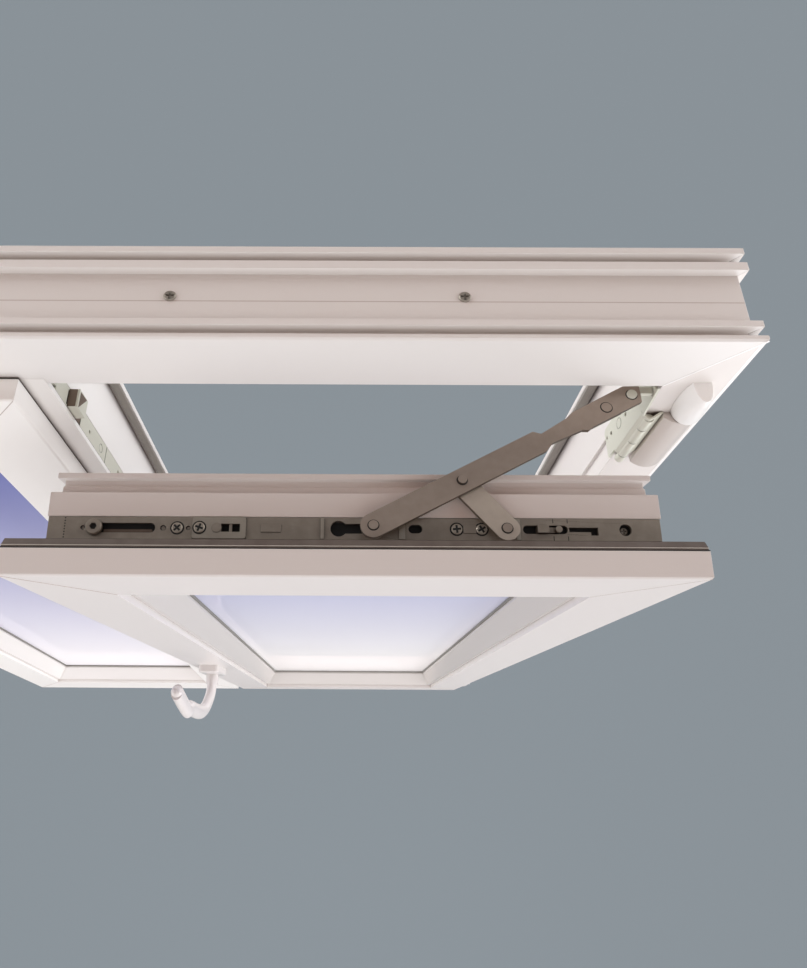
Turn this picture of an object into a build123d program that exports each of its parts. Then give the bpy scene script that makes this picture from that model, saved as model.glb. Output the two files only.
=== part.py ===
from build123d import *
import os

os.makedirs("parts", exist_ok=True)

# Tilt and turn window: one outer frame, a mullion, a closed left sash and a
# right sash tilted into the room on its stay. Millimetres, +Z up, -Y is the
# room side, the origin is the middle of the flat under the sill.

# Outer frame
HEIGHT = 1166.0
DEPTH = 82.0
FRAME_FACE = 50.0
OPENING_RIGHT = 452.0
OPENING_LEFT = 420.0
MULLION_FACE = 25.0
WIDTH = 2 * FRAME_FACE + OPENING_RIGHT + OPENING_LEFT + MULLION_FACE
ROOM = -DEPTH / 2
RECESS = 5.5            # flat of the outer edge below its ridges
GROOVE = 8.0            # depth of the two outer grooves
LIP_REACH = 11.0        # outer lip into the opening
LIP_START = DEPTH - 5   # depth at which the outer lip begins
KEEP_Y0 = 4.5           # shallow channel for the keeps in the rebate
KEEP_Y1 = 21.5
KEEP_DEEP = 3.0
MULLION_NOTCH = 5.0     # mullion face let into head and sill

# Sashes
OVERLAP = 8.0           # sash over frame face
REBATE_AIR = 12.0       # between frame opening and sash body
FLANGE_T = 21.0         # sash flange in front of the frame
SASH_FACE = 60.0
SASH_OUT = 60.0         # sash body behind the frame face
SHOULDER = SASH_OUT - 15.5      # depth at which the sash's outer lip begins
SHOULDER_STEP = 6.5
LIP_RISE = 4.0          # the lip's ridge above the shoulder's floor
LIP_T = 4.0             # thickness of that ridge
TILT = 6.85
PIVOT_OUT = 8.0         # tilt axis in front of the frame face
SEAL_T = 2.0            # flange seal when the sash is shut
SEAL_OPEN = 4.9         # how far its lip springs out past the frame face

# Glazing
BEAD_W = 18.0
BEAD_DROP = 6.0         # bead's front edge behind the sash face
PANE_T = 4.0
PANE_GAP = 16.0
PANE_Y = 12.0           # front of the inner pane behind the frame face
GLASS_COVER = 15.0      # pane edge covered by the bead
GLAZE_SEAL = 2.5

# Derived frame positions
X_RIGHT = WIDTH / 2
X_LEFT = -X_RIGHT
X_MR = X_RIGHT - FRAME_FACE - OPENING_RIGHT
X_ML = X_MR - MULLION_FACE
BASE = -RECESS
TOP = BASE + HEIGHT
SASH_Z0 = BASE + FRAME_FACE - OVERLAP
SASH_Z1 = TOP - FRAME_FACE + OVERLAP
BODY_IN = OVERLAP + REBATE_AIR


def save(shape, node):
    export_step(shape, f"parts/{node}.step")


def prism_x(points, x0, x1):
    """Polygon of (y, z) points run from x0 to x1."""
    wire = Polyline(*[(x0, y, z) for y, z in points], close=True)
    return extrude(make_face(wire), amount=x1 - x0, dir=(1, 0, 0))


def prism_y(points, y0, y1):
    """Polygon of (x, z) points run from y0 to y1."""
    wire = Polyline(*[(x, y0, z) for x, z in points], close=True)
    return extrude(make_face(wire), amount=y1 - y0, dir=(0, 1, 0))


def prism_z(points, z0, z1):
    """Polygon of (x, y) points run from z0 to z1."""
    wire = Polyline(*[(x, y, z0) for x, y in points], close=True)
    return extrude(make_face(wire), amount=z1 - z0, dir=(0, 0, 1))


def block(x0, x1, y0, y1, z0, z1):
    return Pos((x0 + x1) / 2, (y0 + y1) / 2, (z0 + z1) / 2) * Box(x1 - x0, y1 - y0, z1 - z0)


def rod(p, axis, r, length):
    """Cylinder starting at p and running along axis."""
    plane = Plane(origin=p, z_dir=axis)
    return extrude(plane * Circle(r), amount=length)


def ring(section, x0, x1, z0, z1):
    """Four mitred members (top, bottom, left, right) of one section.

    section holds (depth, inset) points: depth behind the frame's room face,
    inset from the rectangle x0..x1, z0..z1 towards its middle."""
    deep = max(s for _, s in section) + 1
    up = min(0, min(s for _, s in section)) - 1
    y0 = ROOM + min(d for d, _ in section) - 1
    y1 = ROOM + max(d for d, _ in section) + 1
    top = prism_x([(ROOM + d, z1 - s) for d, s in section], x0 + up, x1 - up)
    low = prism_x([(ROOM + d, z0 + s) for d, s in section], x0 + up, x1 - up)
    left = prism_z([(x0 + s, ROOM + d) for d, s in section], z0 + up, z1 - up)
    right = prism_z([(x1 - s, ROOM + d) for d, s in section], z0 + up, z1 - up)
    cut_t = prism_y([(x0 + up, z1 - up), (x1 - up, z1 - up), (x1 - deep, z1 - deep),
                     (x0 + deep, z1 - deep)], y0, y1)
    cut_b = prism_y([(x0 + up, z0 + up), (x1 - up, z0 + up), (x1 - deep, z0 + deep),
                     (x0 + deep, z0 + deep)], y0, y1)
    cut_l = prism_y([(x0 + up, z0 + up), (x0 + deep, z0 + deep), (x0 + deep, z1 - deep),
                     (x0 + up, z1 - up)], y0, y1)
    cut_r = prism_y([(x1 - up, z0 + up), (x1 - deep, z0 + deep), (x1 - deep, z1 - deep),
                     (x1 - up, z1 - up)], y0, y1)
    return top & cut_t, low & cut_b, left & cut_l, right & cut_r


def tilted(shape):
    """Swing a right-sash piece, built closed, to the tilted position."""
    y, z = ROOM - PIVOT_OUT, SASH_Z0
    return Pos(0, y, z) * Rot(TILT, 0, 0) * Pos(0, -y, -z) * shape


# Outer frame members
F = FRAME_FACE
frame_section = [
    (0, F), (0, 1.5), (1.5, 0), (4.5, 0), (4.5, GROOVE), (12.2, GROOVE), (12.2, 0.5), (17.5, 0.5),
    (17.5, RECESS), (DEPTH - 20.4, RECESS), (DEPTH - 20.4, 0), (DEPTH - 13.1, 0),
    (DEPTH - 13.1, GROOVE), (DEPTH - 5.5, GROOVE), (DEPTH - 5.5, 0), (DEPTH, 0), (DEPTH, F + LIP_REACH),
    (LIP_START + 1, F + LIP_REACH), (LIP_START, F + LIP_REACH - 1),
    (LIP_START, F), (KEEP_Y1, F), (KEEP_Y1, F - KEEP_DEEP), (KEEP_Y0, F - KEEP_DEEP), (KEEP_Y0, F),
]
head, sill, jamb_l, jamb_r = ring(frame_section, X_LEFT, X_RIGHT, BASE, TOP)

# Mullion: its face is let into the head and the sill, its lips stop at theirs
m_z0, m_z1 = BASE + F, TOP - F
m_half = [(0, 0), (KEEP_Y0, 0), (KEEP_Y0, -KEEP_DEEP), (KEEP_Y1, -KEEP_DEEP), (KEEP_Y1, 0),
          (LIP_START, 0), (LIP_START, LIP_REACH - 1), (LIP_START + 1, LIP_REACH), (DEPTH, LIP_REACH)]
mullion = prism_z([(X_MR + r, ROOM + d) for d, r in m_half]
                  + [(X_ML - r, ROOM + d) for d, r in reversed(m_half)], m_z0, m_z1) - head - sill
for z in (m_z0 - MULLION_NOTCH, m_z1):
    tongue = block(X_ML, X_MR, ROOM, ROOM + KEEP_Y0, z, z + MULLION_NOTCH)
    head, sill, mullion = head - tongue, sill - tongue, mullion + tongue
save(head, "frame_head")
save(sill, "frame_sill")
save(jamb_l, "frame_left_jamb")
save(jamb_r, "frame_right_jamb")
save(mullion, "mullion")


# Weather seals on the outer lips, one ring of four strips for each opening
def lip_seal(x0, x1):
    y = LIP_START
    pts = [(y, 1), (y - 3, 2.2), (y - 3.8, 6), (y - 2.4, 10), (y, 10.4)]
    t, b, l, r = ring(pts, x0, x1, BASE + F, TOP - F)
    return t + b + l + r


save(lip_seal(X_MR, X_RIGHT - F), "right_weather_seal")
save(lip_seal(X_LEFT + F, X_ML), "left_weather_seal")

# Sashes: the edge has a stepped groove for the hardware under its faceplate
PLATE_Y = 10.3
PLATE_W = 16.0
PLATE_T = 2.6
PLATE_FIT = 0.3
GEAR_W = 12.0
GEAR_DEEP = 12.0
p0, p1 = PLATE_Y - PLATE_FIT, PLATE_Y + PLATE_W + PLATE_FIT
g0 = PLATE_Y + (PLATE_W - GEAR_W) / 2
g1 = g0 + GEAR_W
sash_section = [
    (-FLANGE_T, SASH_FACE), (-FLANGE_T, 1.2), (-FLANGE_T + 1.2, 0), (-SEAL_T, 0), (-SEAL_T, BODY_IN),
    (p0, BODY_IN), (p0, BODY_IN + PLATE_T), (g0, BODY_IN + PLATE_T), (g0, BODY_IN + GEAR_DEEP),
    (g1, BODY_IN + GEAR_DEEP), (g1, BODY_IN + PLATE_T), (p1, BODY_IN + PLATE_T), (p1, BODY_IN),
    (SHOULDER, BODY_IN), (SHOULDER, BODY_IN + SHOULDER_STEP - 1), (SHOULDER + 6.5, BODY_IN + SHOULDER_STEP - 0.7),
    (SHOULDER + 7, BODY_IN + SHOULDER_STEP), (SASH_OUT - LIP_T, BODY_IN + SHOULDER_STEP),
    (SASH_OUT - LIP_T, BODY_IN + SHOULDER_STEP - LIP_RISE), (SASH_OUT, BODY_IN + SHOULDER_STEP - LIP_RISE),
    (SASH_OUT, SASH_FACE + BEAD_W),
    (PANE_Y + 2 * PANE_T + PANE_GAP + GLAZE_SEAL, SASH_FACE + BEAD_W),
    (PANE_Y + 2 * PANE_T + PANE_GAP + GLAZE_SEAL, SASH_FACE),
]
bead_section = [
    (-FLANGE_T + BEAD_DROP, SASH_FACE), (-FLANGE_T + BEAD_DROP, SASH_FACE + 4),
    (PANE_Y - GLAZE_SEAL - 3, SASH_FACE + BEAD_W), (PANE_Y - GLAZE_SEAL, SASH_FACE + BEAD_W),
    (PANE_Y - GLAZE_SEAL, SASH_FACE),
]
glaze_section = [
    (PANE_Y - GLAZE_SEAL, SASH_FACE + BEAD_W - 6), (PANE_Y - GLAZE_SEAL, SASH_FACE + BEAD_W + 1.5),
    (PANE_Y, SASH_FACE + BEAD_W + 1.5), (PANE_Y, SASH_FACE + BEAD_W - 6),
]
flange_seal_section = [
    (-SEAL_T, 0.6), (1.0, 0.9), (SEAL_OPEN, 2.0), (SEAL_OPEN - 0.7, 3.4), (1.0, 3.2), (0.6, 7.0), (-SEAL_T, 8.0),
]
# Room air behind the frame's face: the seal is squashed flat where it meets it
face_slab = block(X_LEFT, X_RIGHT, ROOM - 0.05, ROOM + 25, BASE, TOP)


def build_sash(side, x0, x1, place):
    z0, z1 = SASH_Z0, SASH_Z1
    parts = ring(sash_section, x0, x1, z0, z1)
    for name, solid in zip(("top_rail", "bottom_rail", "left_stile", "right_stile"), parts):
        save(place(solid), f"{side}_sash_{name}")
    beads = ring(bead_section, x0, x1, z0, z1)
    save(place(beads[0] + beads[1] + beads[2] + beads[3]), f"{side}_glazing_beads")
    t, b, l, r = ring(glaze_section, x0, x1, z0, z1)
    save(place(t + b + l + r), f"{side}_glazing_seal")
    t, b, l, r = ring(flange_seal_section, x0, x1, z0, z1)
    save(place(t + b + l + r) - face_slab, f"{side}_flange_seal")
    inset = SASH_FACE + BEAD_W - GLASS_COVER
    gx0, gx1, gz0, gz1 = x0 + inset, x1 - inset, z0 + inset, z1 - inset
    y = ROOM + PANE_Y
    save(place(block(gx0, gx1, y, y + PANE_T, gz0, gz1)), f"{side}_inner_pane")
    y2 = y + PANE_T + PANE_GAP
    save(place(block(gx0, gx1, y2, y2 + PANE_T, gz0, gz1)), f"{side}_outer_pane")
    s = 12
    spacer = block(gx0, gx1, y + PANE_T, y2, gz0, gz1) - block(gx0 + s, gx1 - s, y, y2 + 9, gz0 + s, gz1 - s)
    save(place(spacer), f"{side}_pane_spacer")


R0, R1 = X_MR - OVERLAP, X_RIGHT - F + OVERLAP
L0, L1 = X_LEFT + F - OVERLAP, X_ML + OVERLAP
build_sash("right", R0, R1, tilted)
build_sash("left", L0, L1, lambda s: s)


# Hardware in the right sash's top edge, built closed and tilted with the sash
EDGE = SASH_Z1 - BODY_IN            # top of the sash body
PX0, PX1 = R0 + BODY_IN, R1 - BODY_IN
PC = ROOM + PLATE_Y + PLATE_W / 2   # middle of the faceplate
SLOT_W = 7.0


def plate(x0, x1):
    return block(x0, x1, ROOM + PLATE_Y, ROOM + PLATE_Y + PLATE_W, EDGE - PLATE_T, EDGE)


def slot(x0, x1, w, y=PC):
    """Cutter for a round-ended slot through the faceplate."""
    shape = Plane(origin=((x0 + x1) / 2, y, EDGE - PLATE_T - 1)) * SlotOverall(x1 - x0, w)
    return extrude(shape, amount=PLATE_T + 2)


def hole(x, r, y=PC):
    return Pos(x, y, EDGE) * Cylinder(r, 2 * PLATE_T + 2)


def raised(x0, x1, w, h):
    return block(x0, x1, PC - w / 2, PC + w / 2, EDGE - 0.5, EDGE + h)


# left faceplate: locking cam slot, screw holes, sliding latch with its stud
X_CAM = PX0 + 34.0
X_LATCH = PX0 + 102.0
X_STAY = PX0 + 139.0
left_plate = plate(PX0 + 1, X_STAY)
left_plate -= slot(X_CAM - 5, X_CAM + 42, SLOT_W)
left_plate -= hole(X_CAM - 8.5, 1.6) + hole(X_CAM + 47.5, 2.0) + hole(X_CAM + 65, 1.6)
left_plate += block(X_LATCH, X_STAY, PC - PLATE_W / 2 + 0.4, PC + PLATE_W / 2 - 0.4, EDGE, EDGE + 0.8)
left_plate -= block(X_LATCH + 20, X_LATCH + 33, PC - 2.9, PC + 2.9, EDGE - 9, EDGE + 2)
left_plate += Pos(X_LATCH + 17, PC, EDGE + 0.8) * Cylinder(3.4, 1.6)
left_plate += block(X_LATCH + 25.5, X_LATCH + 27.5, PC - 2.9, PC + 2.9, EDGE - PLATE_T, EDGE + 0.4)
save(tilted(left_plate), "left_faceplate")

# stay faceplate: cover strip, keyhole for the stay's slider, guide bar, window
X_KEY = PX0 + 203.5
X_END = PX0 + 329.0
stay_plate = plate(X_STAY + 0.2, X_END)
stay_plate += raised(X_STAY + 10.5, X_STAY + 24.5, 5.7, 0.7)
stay_plate += raised(X_STAY + 52, X_STAY + 54.5, PLATE_W - 1, 1.2)
stay_plate -= hole(X_KEY, 5.7) + slot(X_KEY, X_KEY + 34, SLOT_W)
stay_plate += raised(X_KEY + 42, X_KEY + 46, PLATE_W - 2, 1.0)
stay_plate -= slot(X_KEY + 48.5, X_KEY + 58, 6.2)
stay_plate += Pos(X_KEY + 91, PC, EDGE) * Box(9, 6, 1.2)
stay_plate += raised(X_END - 2.2, X_END, PLATE_W - 1, 1.2)

# right faceplate: second cam's slot, release slot and round hole
right_plate = plate(X_END + 0.2, PX1 - 1)
right_plate -= slot(X_END + 2.5, X_END + 33.5, 6.0)
right_plate -= block(X_END + 34.5, X_END + 54.5, PC - 1.6, PC + 1.6, EDGE - 9, EDGE + 1)
right_plate -= block(X_END + 49.5, X_END + 54.5, PC - 4, PC, EDGE - 9, EDGE + 1)
right_plate -= hole(X_END + 73.5, 4.2)
save(tilted(right_plate), "right_faceplate")

# locking cams: a mushroom roller with a hexagon socket and a flat tongue
cam = Pos(X_CAM, PC, EDGE - 1.6) * Cylinder(2.9, 5)
cam += Pos(X_CAM, PC, EDGE + 2.2) * Cylinder(5.8, 3.0)
cam = chamfer(cam.faces().sort_by(Axis.Z)[-1].edges(), 0.8)
cam -= extrude(Plane(origin=(X_CAM, PC, EDGE + 2.0)) * RegularPolygon(2.6, 6), amount=3)
tongue = block(X_END + 12, X_END + 20, PC - 2.7, PC + 2.7, EDGE - PLATE_T - 1, EDGE + 2.4)
tongue += Pos(X_END + 27, PC, EDGE - 0.2) * Cylinder(2.4, 4)
tongue += block(X_END + 12, X_END + 27, PC - 2, PC + 2, EDGE - PLATE_T - 1, EDGE - PLATE_T + 1.6)
save(tilted(cam + tongue), "locking_cams")

# Stay: arm, link and rivets lie level between the tilted sash and the head
HEAD_LOW = TOP - F                  # lower edge of the head
foot = tilted(Pos(0, PC, EDGE)).position     # middle of the tilted faceplate
STAY_Z = foot.Z + 6.8
STAY_T = 3.0
STAY_A = (X_KEY + 23.8, foot.Y - 1.6)       # arm on the sash's slider
STAY_P = (X_RIGHT - F - 20.5, ROOM - 3)     # arm's pin on the hinge band
STAY_C = (X_END - 10, foot.Y - 2.0)         # link's foot on the faceplate
STAY_RIVET = 0.325                          # link rivet along the arm
STAY_RING = 0.895                           # ring rivet along the arm
ARM_W = 18.0
LINK_W = 17.6
# Outline of the arm past its straight run, as (along, across) from its pin
NECK = [(-82.5, 9.0), (-78, 4.5), (-55, 6.5), (-48, 8.6), (-9, 9.2), (-1, 9.2), (9.5, 3.5), (6.5, -2.5),
        (3.0, -8.5), (-42, -8.8), (-46, -9.6), (-50, -7.2), (-75.5, -5.8), (-82.5, -9.0)]


def between(p, q, t):
    return (p[0] + (q[0] - p[0]) * t, p[1] + (q[1] - p[1]) * t)


def bar(p, q, w, z, t):
    """Round-ended flat bar from p to q, lying at height z."""
    v = Vector(q[0] - p[0], q[1] - p[1], 0)
    plane = Plane(origin=((p[0] + q[0]) / 2, (p[1] + q[1]) / 2, z), x_dir=v, z_dir=(0, 0, 1))
    return extrude(plane * SlotCenterToCenter(v.length, w), amount=t)


along = Vector(STAY_P[0] - STAY_A[0], STAY_P[1] - STAY_A[1], 0)
arm_len = along.length
arm_plane = Plane(origin=(*STAY_P, STAY_Z), x_dir=along, z_dir=(0, 0, 1))
straight = [(-arm_len, -ARM_W / 2), (-82.5, -ARM_W / 2), (-82.5, ARM_W / 2), (-arm_len, ARM_W / 2)]
arm = extrude(arm_plane * make_face(Polyline(*straight, close=True)), amount=STAY_T)
arm += Pos(*STAY_A, STAY_Z + STAY_T / 2) * Cylinder(ARM_W / 2, STAY_T)
arm += extrude(arm_plane * make_face(Polyline(*NECK, close=True)), amount=STAY_T)
arm += extrude(arm_plane * make_face(Polyline((-44, 8.2), (-14, 8.8), (-14, -8.4), (-42, -8.4), close=True)),
               amount=-1.6)

rivet = between(STAY_A, STAY_P, STAY_RIVET)
link = bar(rivet, STAY_C, LINK_W, STAY_Z - STAY_T, STAY_T - 0.1)

ring_pin = between(STAY_A, STAY_P, STAY_RING)
rivets = Pos(*rivet, STAY_Z - 0.5 + STAY_T / 2) * Cylinder(3.2, 2 * STAY_T + 2)
rivets += Pos(*ring_pin, STAY_Z + STAY_T / 2) * Cylinder(3.9, STAY_T + 0.8)
foot_z = foot.Z - 5
for x, y in (STAY_A, STAY_C):
    top_z = STAY_Z + STAY_T if (x, y) == STAY_A else STAY_Z - 0.1
    rivets += Pos(x, y, (foot_z + top_z + 0.8) / 2) * Cylinder(3.4, top_z + 0.8 - foot_z)
pivot = Pos(*STAY_P, STAY_Z + 0.2) * Cylinder(3.7, 8.4)
save(rivets, "stay_rivets")
save(arm - rivets - pivot, "stay_arm")
save(link - rivets, "stay_link")
save(tilted(stay_plate) - rivets, "stay_faceplate")

# Top hinge: bearing plate on the jamb's rebate, a sheet folded round its corner
# with the knuckles, and the band that the arm's pin turns in
JAMB_X = X_RIGHT - F
HINGE_R = 3.9
HINGE_X, HINGE_Y = JAMB_X + 4.2, ROOM - HINGE_R - 0.3
LEAF_T = 2.2
LEAF_Z0, LEAF_Z1 = HEAD_LOW - 103, HEAD_LOW - 6
leaf = block(JAMB_X - LEAF_T, JAMB_X, ROOM, ROOM + 27, LEAF_Z0, LEAF_Z1)
leaf = fillet(leaf.edges().filter_by(Axis.X).sort_by(Axis.Y)[-2:], 5)
for y, z, r in ((15, 44.5, 1.9), (16.5, 13.5, 1.8), (17.5, 3.8, 1.6)):
    leaf -= rod((JAMB_X - 5, ROOM + y, LEAF_Z0 + z), (1, 0, 0), r, 8)
leaf -= rod((JAMB_X - LEAF_T - 1, ROOM + 15.5, LEAF_Z0 + 30.5), (1, 0, 0), 4.8, 1.4)
leaf += rod((JAMB_X - LEAF_T - 0.1, ROOM + 15.5, LEAF_Z0 + 30.5), (1, 0, 0), 4.2, 1.4)
leaf += prism_x([(ROOM + 2, HEAD_LOW - 31.8), (ROOM - 4.4, HEAD_LOW - 31.8), (ROOM - 0.8, HEAD_LOW - 2),
                 (ROOM + 2, HEAD_LOW - 6)], JAMB_X - LEAF_T, JAMB_X - 0.6)
save(leaf, "top_hinge_leaf")

fold = [(-LEAF_T, 0), (-LEAF_T, -2), (0.1, -4.4), (1.5, -6.5), (3.5, -7.5), (6, -6.6), (11.8, -2.5), (14.6, -1.5),
        (14.6, 0), (11.4, -1.1), (5.5, -5.1), (3.5, -6.0), (2.4, -5.4), (1.5, -3.4), (-0.6, -1.2), (-0.6, 0)]
knuckles = prism_z([(JAMB_X + x, ROOM + y) for x, y in fold], LEAF_Z0 + 14, HEAD_LOW - 32)
for z0, length in ((6, 8), (14.8, 20.4), (36, 18), (54.8, 13)):
    knuckles += rod((HINGE_X, HINGE_Y, LEAF_Z0 + z0), (0, 0, 1), HINGE_R, length)
knuckles += rod((HINGE_X, HINGE_Y, LEAF_Z0 + 6), (0, 0, 1), HINGE_R - 1.2, 61)
knuckles -= block(JAMB_X - 9, JAMB_X, ROOM, ROOM + 9, LEAF_Z0, LEAF_Z1)
save(knuckles, "top_hinge_knuckles")

band = block(STAY_P[0], JAMB_X - LEAF_T, ROOM + 0.4, ROOM + 6.4, STAY_Z - 3, STAY_Z - 0.1)
band += Pos(*STAY_P, STAY_Z - 1.55) * Cylinder(5.6, 2.9)
save(band + pivot, "stay_band")

# White covers over the hinge on the jamb's face: flat on the knuckles' side and
# rounded over to the other, the upper one under a domed cap
COVER_X = JAMB_X + 15.0             # flat side of the covers
COVER_W = 28.6
COVER_OUT = 10.2
CAP_W = 24.0


def cover(z0, z1, w=COVER_W, out=COVER_OUT):
    """Prism that rises flat from its left side and curves over to its right."""
    y = ROOM - out * 0.45
    edge = Polyline((COVER_X + w, ROOM, z0), (COVER_X, ROOM, z0), (COVER_X, y, z0))
    back = ThreePointArc((COVER_X, y, z0), (COVER_X + w * 0.48, ROOM - out, z0), (COVER_X + w, ROOM, z0))
    return extrude(make_face(edge + back), amount=z1 - z0, dir=(0, 0, 1))


def dome(z0, z1):
    """Cap that leans to a smaller flat top, standing out furthest there."""
    sections = []
    for share, half, out, middle in ((0, 11.2, 12, 0.6), (0.12, 11.6, 13, -0.2), (0.34, 11.8, 14.6, -1.4),
                                     (0.64, 10.8, 16.2, -2.6), (0.88, 8.6, 17.2, -3.4), (1, 6.8, 16.4, -3.8)):
        middle_x = COVER_X + COVER_W - CAP_W / 2 - 0.4 + middle
        sections.append(Plane(origin=(middle_x, ROOM, z0 + (z1 - z0) * share)) * Ellipse(half, out))
    return loft(sections) - block(COVER_X - 9, COVER_X + 50, ROOM, ROOM + 40, z0 - 5, z1 + 5)


save(dome(HEAD_LOW - 33, HEAD_LOW + 4), "top_hinge_cap")
save(cover(HEAD_LOW - 101, HEAD_LOW - 33.4), "top_hinge_cover")

# Bottom hinge: pivot bearing on the jamb under the sash corner, covers
COVER_LOW = SASH_Z0 + 36
save(cover(COVER_LOW, COVER_LOW + 54), "bottom_hinge_cover")
save(cover(COVER_LOW - 38, COVER_LOW - 0.4, COVER_W, 12.5), "bottom_hinge_cap")

# Keeps in the mullion's rebate channel beside the right sash
keep_x = X_MR - KEEP_DEEP
keep_y0, keep_y1 = ROOM + KEEP_Y0 + 0.3, ROOM + KEEP_Y1 - 0.3
keep_mid = (keep_y0 + keep_y1) / 2
keep_top = X_MR - 0.2


def keep(z0, z1):
    return block(keep_x, keep_top, keep_y0, keep_y1, HEAD_LOW - z0, HEAD_LOW - z1)


keeps = keep(36, 1.5) + keep(124, 64) + keep(215, 125.2)
keeps -= block(keep_x - 1, X_MR + 1, keep_y0 - 1, keep_y0 + 3, HEAD_LOW - 14, HEAD_LOW + 5)
keeps += block(keep_x, keep_x + 1, keep_y0, keep_y1, HEAD_LOW - 75, HEAD_LOW - 30)
keeps += block(keep_x, X_MR + 8, keep_y0, keep_y1, HEAD_LOW - 53, HEAD_LOW - 36)
keeps -= block(keep_x + 1, X_MR + 6, keep_y0 + 1.4, keep_y1 - 1.4, HEAD_LOW - 51.4, HEAD_LOW - 34)
for z, y, r in ((84, -1, 1.7), (112, -0.5, 1.3), (160, 1, 2.6), (198, 0, 2.0)):
    keeps -= rod((keep_x - 1, keep_mid + y, HEAD_LOW - z), (1, 0, 0), r, 12)
keeps -= rod((keep_top - 0.5, keep_mid - 0.5, HEAD_LOW - 112), (1, 0, 0), 4.2, 2)
keeps += rod((keep_top - 0.9, keep_mid - 0.5, HEAD_LOW - 112), (1, 0, 0), 3.5, 0.8)
save(keeps, "mullion_keeps")

# Handle on the right sash's left stile, lever up in the tilt position
HANDLE_X = R0 + 27.0
HANDLE_Z = 520.0                    # grip height that such windows keep
FACE_Y = ROOM - FLANGE_T
rosette = Pos(HANDLE_X, FACE_Y - 5.5, HANDLE_Z) * Box(30, 11, 66)
rosette = fillet(rosette.edges().filter_by(Axis.Y), 6)
rosette = fillet(rosette.faces().sort_by(Axis.Y)[0].edges(), 3)
save(tilted(rosette), "handle_rosette")

neck = rod((HANDLE_X, FACE_Y - 11.1, HANDLE_Z), (0, -1, 0), 9, 14)
path = Spline((HANDLE_X, FACE_Y - 20, HANDLE_Z), (HANDLE_X, FACE_Y - 48, HANDLE_Z + 16),
              (HANDLE_X, FACE_Y - 67, HANDLE_Z + 62), (HANDLE_X, FACE_Y - 66, HANDLE_Z + 140),
              (HANDLE_X, FACE_Y - 50, HANDLE_Z + 208), tangents=((0, -1, 0), (0, 0.35, 1)))
lever = sweep(Plane(origin=path @ 0, z_dir=path % 0) * Ellipse(10, 7), path=path)
lever += Pos(*(path @ 1)) * Sphere(7)
save(tilted(neck + lever), "handle_lever")

print("frame", WIDTH, HEIGHT, "right sash", R1 - R0, SASH_Z1 - SASH_Z0)
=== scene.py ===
"""Looks of the white PVC tilt and turn window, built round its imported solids."""

import logging
import math
from dataclasses import dataclass
from enum import Enum

import bmesh
import bpy
from mathutils import Matrix, Vector


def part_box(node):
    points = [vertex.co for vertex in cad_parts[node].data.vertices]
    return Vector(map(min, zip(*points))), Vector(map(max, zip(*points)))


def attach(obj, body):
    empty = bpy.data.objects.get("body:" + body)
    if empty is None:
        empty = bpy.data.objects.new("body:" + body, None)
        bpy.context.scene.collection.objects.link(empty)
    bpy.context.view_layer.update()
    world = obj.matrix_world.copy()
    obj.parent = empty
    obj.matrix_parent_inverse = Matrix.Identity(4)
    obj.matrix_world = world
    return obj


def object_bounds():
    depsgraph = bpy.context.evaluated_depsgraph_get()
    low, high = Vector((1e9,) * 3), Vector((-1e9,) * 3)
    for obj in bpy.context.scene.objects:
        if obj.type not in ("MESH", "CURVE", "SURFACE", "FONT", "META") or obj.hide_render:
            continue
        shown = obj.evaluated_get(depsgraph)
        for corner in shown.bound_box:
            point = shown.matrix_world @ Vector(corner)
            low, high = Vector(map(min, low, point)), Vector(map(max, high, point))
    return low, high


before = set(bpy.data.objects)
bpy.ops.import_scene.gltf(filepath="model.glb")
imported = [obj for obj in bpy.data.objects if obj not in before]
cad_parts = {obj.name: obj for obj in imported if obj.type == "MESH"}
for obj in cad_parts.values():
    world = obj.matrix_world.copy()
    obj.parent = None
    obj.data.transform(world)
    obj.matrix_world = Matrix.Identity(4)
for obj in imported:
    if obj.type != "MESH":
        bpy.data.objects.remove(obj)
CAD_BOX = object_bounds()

LOG = logging.getLogger("window")
MM = 0.001
PHOTO_WIDTH = 807
PHOTO_HEIGHT = 968

# Sizes of the real window that the looks need, in metres, as in the solids
FRAME_FACE = 50 * MM
SASH_FACE = 60 * MM
BODY_IN = 20 * MM
PLATE_MID = 18.3 * MM
PLATE_W = 16 * MM
TILT = math.radians(6.85)
PIVOT_OUT = 8 * MM

# The way out of the faces on the room side
ROOM = Vector((0, -1, 0))

# How the broken edges of the solids are cut
WELD_REACH = 0.01 * MM
BEVEL_STEPS = 2
BEVEL_ANGLE = math.radians(35)

# Rays that look for neighbouring faces round a point
GAP_SAMPLES = 8

# Shares of a screw head's radius and height that its rim and cross recess take, and the size of the
# painted shade on the recess floor
HEAD_STEPS = 32
HEAD_RIM = 0.55
HEAD_TOP = 0.86
CROSS_ARM = 0.76
CROSS_HALF = 0.2
CROSS_DEPTH = 0.9
CROSS_TAPER = 0.7
INLAY_ARM = 0.74
INLAY_HALF = 0.19
INLAY_LOW = -0.3 * MM
INLAY_HIGH = 0.08 * MM

# How far a mark of painted shade reaches into the metal and stands off it
MARK_ROOT = -0.2 * MM
MARK = 0.05 * MM

# Types of colours, places and flat outlines
Rgba = tuple[float, float, float, float]
Point = tuple[float, float, float]
Outline = list[tuple[float, float]]


def srgb(code: str) -> Rgba:
    """Linear colour of an sRGB hex value.

    Args:
        code: six hex digits, such as "f2f1ef".

    Returns:
        Linear red, green, blue and an alpha of 1.
    """
    parts = [int(code[i:i + 2], 16) / 255 for i in (0, 2, 4)]
    linear = [c / 12.92 if c <= 0.04045 else ((c + 0.055) / 1.055) ** 2.4 for c in parts]
    return (*linear, 1.0)


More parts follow.
